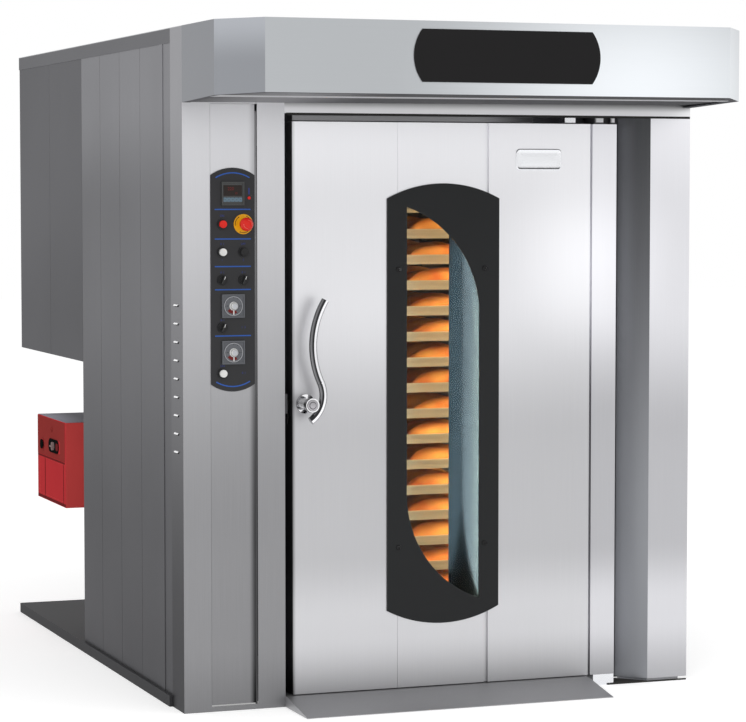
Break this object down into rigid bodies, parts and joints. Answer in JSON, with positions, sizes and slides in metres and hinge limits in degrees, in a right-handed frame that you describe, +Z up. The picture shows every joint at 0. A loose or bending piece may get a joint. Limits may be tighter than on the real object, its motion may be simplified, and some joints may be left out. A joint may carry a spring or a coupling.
{
  "type": "rotating rack oven",
  "caption": "Bakery oven with a rack that turns in a hot chamber, a hinged door with a tall window, a steam hood, a control column and a burner at the back.",
  "frame": {"origin": "on the floor, under the centre of the bounding box", "axes": "+X to the right seen from the front, +Y from the door to the back, +Z up"},
  "size_m": [1.692, 2.597, 2.074],
  "materials": {
    "outer_steel": "vertical brushed stainless, satin",
    "front_steel": "fine brushed stainless",
    "dark_steel": "grey painted pan",
    "bright_steel": "bright machined stainless",
    "inner_steel": "plain mill finish",
    "heat_steel": "heat tinted",
    "wool": "mineral wool boards",
    "charcoal_plate": "satin charcoal",
    "sign_black": "gloss black",
    "motor_paint": "semi-gloss enamel",
    "burner_grey": "light grey enamel",
    "burner_red": "semi-gloss red enamel",
    "black_plastic": "satin black",
    "alloy": "plain",
    "rack_steel": "satin",
    "tray_metal": "baked, with a warm cast",
    "fork_zinc": "zinc plated",
    "wheel_black": "heat resistant moulded wheel",
    "pane_glass": "clear",
    "gasket_rubber": "matt",
    "handle_chrome": "polished",
    "red_plastic": "gloss red",
    "white_plastic": "white"
  },
  "bodies": {
    "oven": {"base_plate": "dark_steel", "side_panels": "outer_steel", "back_panels": "outer_steel", "roof_panels": "outer_steel", "control_column": "outer_steel", "control_cover": "front_steel", "control_plate": "charcoal_plate", "right_pilaster": "outer_steel", "lintel": "front_steel", "hood_shell": "front_steel", "hood_sign": "sign_black", "hood_filter": "inner_steel", "door_frame": "bright_steel", "ramp": "outer_steel", "door_pivots": "bright_steel", "chamber_liner": "inner_steel", "air_ducts": "inner_steel", "insulation": "wool", "exchanger": "heat_steel", "flue_pipe": "inner_steel", "fan_scroll": "inner_steel", "fan_motor": "motor_paint", "steam_generator": "inner_steel", "burner_body": "burner_grey", "burner_cover": "burner_red", "rack_drive": "motor_paint", "switchgear": "black_plastic", "panel_fittings": "black_plastic"},
    "door": {"door_leaf": "front_steel", "hinge_stile": "front_steel", "window_plate": "charcoal_plate", "window_panes": "pane_glass", "window_tunnel": "bright_steel", "door_gasket": "gasket_rubber"},
    "handle": {"door_handle": "handle_chrome"},
    "rack": {"rack_hanger": "rack_steel", "rack_frame": "rack_steel", "rack_runners": "rack_steel", "trays": "tray_metal"},
    "swivel_a": {"caster_fork_a": "fork_zinc"},
    "swivel_b": {"caster_fork_b": "fork_zinc"},
    "wheel_a": {"caster_wheel_a": "wheel_black"},
    "wheel_b": {"caster_wheel_b": "wheel_black"},
    "wheel_c": {"caster_wheel_c": "wheel_black"},
    "wheel_d": {"caster_wheel_d": "wheel_black"},
    "air_fan": {"circulation_fan": "inner_steel"},
    "blower": {"burner_fan": "alloy"},
    "damper": {"burner_damper": "burner_red"},
    "reset": {"burner_reset": "black_plastic"},
    "stop_stem": {"estop_stem": "fork_zinc"},
    "stop_head": {"estop_head": "red_plastic"},
    "start": {"start_button": "red_plastic"},
    "light": {"light_button": "white_plastic"},
    "halt": {"stop_button": "black_plastic"},
    "steam": {"steam_button": "white_plastic"},
    "switch_a": {"selector_a": "black_plastic"},
    "switch_b": {"selector_b": "black_plastic"},
    "switch_c": {"selector_c": "black_plastic"},
    "timer_a": {"timer_knob_a": "white_plastic"},
    "timer_b": {"timer_knob_b": "white_plastic"}
  },
  "joints": [
    {"name": "door_swing", "type": "hinge", "parent": "oven", "child": "door", "pos_m": [0.5385, -0.7815, 0.9], "axis": [0, 0, 1], "range_deg": [0, 110]},
    {"name": "handle_turn", "type": "hinge", "parent": "door", "child": "handle", "pos_m": [-0.453, -0.8265, 0.921], "axis": [0, 1, 0], "range_deg": [0, 80]},
    {"name": "rack_turn", "type": "hinge", "parent": "oven", "child": "rack", "pos_m": [-0.002, -0.2085, 1], "axis": [0, 0, 1], "continuous": true},
    {"name": "swivel_a_turn", "type": "hinge", "parent": "rack", "child": "swivel_a", "pos_m": [-0.262, -0.4885, 0.13], "axis": [0, 0, 1], "continuous": true},
    {"name": "swivel_b_turn", "type": "hinge", "parent": "rack", "child": "swivel_b", "pos_m": [0.258, -0.4885, 0.13], "axis": [0, 0, 1], "continuous": true},
    {"name": "wheel_a_roll", "type": "hinge", "parent": "swivel_a", "child": "wheel_a", "pos_m": [-0.262, -0.4665, 0.084], "axis": [1, 0, 0], "continuous": true},
    {"name": "wheel_b_roll", "type": "hinge", "parent": "swivel_b", "child": "wheel_b", "pos_m": [0.258, -0.4665, 0.084], "axis": [1, 0, 0], "continuous": true},
    {"name": "wheel_c_roll", "type": "hinge", "parent": "rack", "child": "wheel_c", "pos_m": [-0.262, 0.0715, 0.084], "axis": [1, 0, 0], "continuous": true},
    {"name": "wheel_d_roll", "type": "hinge", "parent": "rack", "child": "wheel_d", "pos_m": [0.258, 0.0715, 0.084], "axis": [1, 0, 0], "continuous": true},
    {"name": "air_fan_spin", "type": "hinge", "parent": "oven", "child": "air_fan", "pos_m": [0, 0.4735, 1.4], "axis": [0, 1, 0], "continuous": true},
    {"name": "blower_spin", "type": "hinge", "parent": "oven", "child": "blower", "pos_m": [-0.686, 0.8935, 0.577], "axis": [1, 0, 0], "continuous": true},
    {"name": "damper_turn", "type": "hinge", "parent": "oven", "child": "damper", "pos_m": [-0.816, 0.8755, 0.655], "axis": [1, 0, 0], "range_deg": [0, 90]},
    {"name": "reset_press", "type": "slide", "parent": "oven", "child": "reset", "axis": [1, 0, 0], "range_m": [0, 0.003], "stiffness_N_per_m": 800, "springref_m": -0.002},
    {"name": "stop_press", "type": "slide", "parent": "oven", "child": "stop_stem", "axis": [0, 1, 0], "range_m": [0, 0.006]},
    {"name": "stop_twist", "type": "hinge", "parent": "stop_stem", "child": "stop_head", "pos_m": [-0.648, -0.8565, 1.464], "axis": [0, 1, 0], "range_deg": [0, 45]},
    {"name": "start_press", "type": "slide", "parent": "oven", "child": "start", "axis": [0, 1, 0], "range_m": [0, 0.004], "stiffness_N_per_m": 800, "springref_m": -0.002},
    {"name": "light_press", "type": "slide", "parent": "oven", "child": "light", "axis": [0, 1, 0], "range_m": [0, 0.004], "stiffness_N_per_m": 800, "springref_m": -0.002},
    {"name": "halt_press", "type": "slide", "parent": "oven", "child": "halt", "axis": [0, 1, 0], "range_m": [0, 0.004], "stiffness_N_per_m": 800, "springref_m": -0.002},
    {"name": "steam_press", "type": "slide", "parent": "oven", "child": "steam", "axis": [0, 1, 0], "range_m": [0, 0.004], "stiffness_N_per_m": 800, "springref_m": -0.002},
    {"name": "switch_a_turn", "type": "hinge", "parent": "oven", "child": "switch_a", "pos_m": [-0.714, -0.8365, 1.298], "axis": [0, 1, 0], "range_deg": [-45, 45]},
    {"name": "switch_b_turn", "type": "hinge", "parent": "oven", "child": "switch_b", "pos_m": [-0.648, -0.8365, 1.298], "axis": [0, 1, 0], "range_deg": [-45, 45]},
    {"name": "switch_c_turn", "type": "hinge", "parent": "oven", "child": "switch_c", "pos_m": [-0.714, -0.8365, 1.156], "axis": [0, 1, 0], "range_deg": [-45, 45]},
    {"name": "timer_a_turn", "type": "hinge", "parent": "oven", "child": "timer_a", "pos_m": [-0.681, -0.8415, 1.22], "axis": [0, 1, 0], "range_deg": [0, 300]},
    {"name": "timer_b_turn", "type": "hinge", "parent": "oven", "child": "timer_b", "pos_m": [-0.681, -0.8415, 1.081], "axis": [0, 1, 0], "range_deg": [0, 300]}
  ]
}
